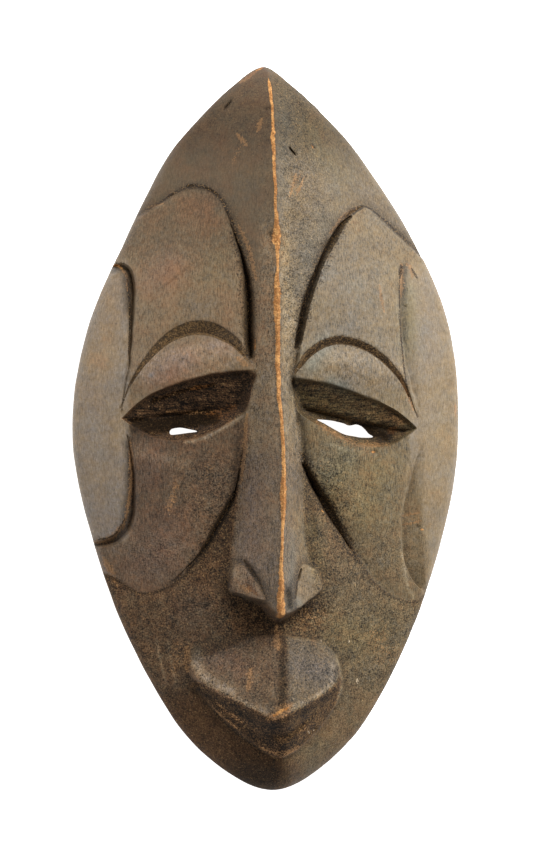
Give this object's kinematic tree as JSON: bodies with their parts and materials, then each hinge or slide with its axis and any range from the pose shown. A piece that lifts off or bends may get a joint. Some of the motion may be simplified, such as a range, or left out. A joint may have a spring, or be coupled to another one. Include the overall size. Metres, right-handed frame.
{
  "type": "miniature carved wooden face mask",
  "caption": "Miniature face mask carved from one block of dark stained wood: pointed oval, raised cheek panels, ridge nose, hooded slit eyes, hollow back.",
  "frame": {"origin": "centre of the bounding box, on the plane that the flat rim rests on; the mask lies on its back with the face up", "axes": "+Z out of the face, +Y to the pointed top of the forehead, +X to the viewer's right across the face"},
  "size_m": [0.0862, 0.16, 0.0278],
  "materials": {
    "stained_wood": "dark stained and worn, matt with a dusty sheen"
  },
  "bodies": {
    "root": {"mask": "stained_wood"}
  },
  "joints": []
}
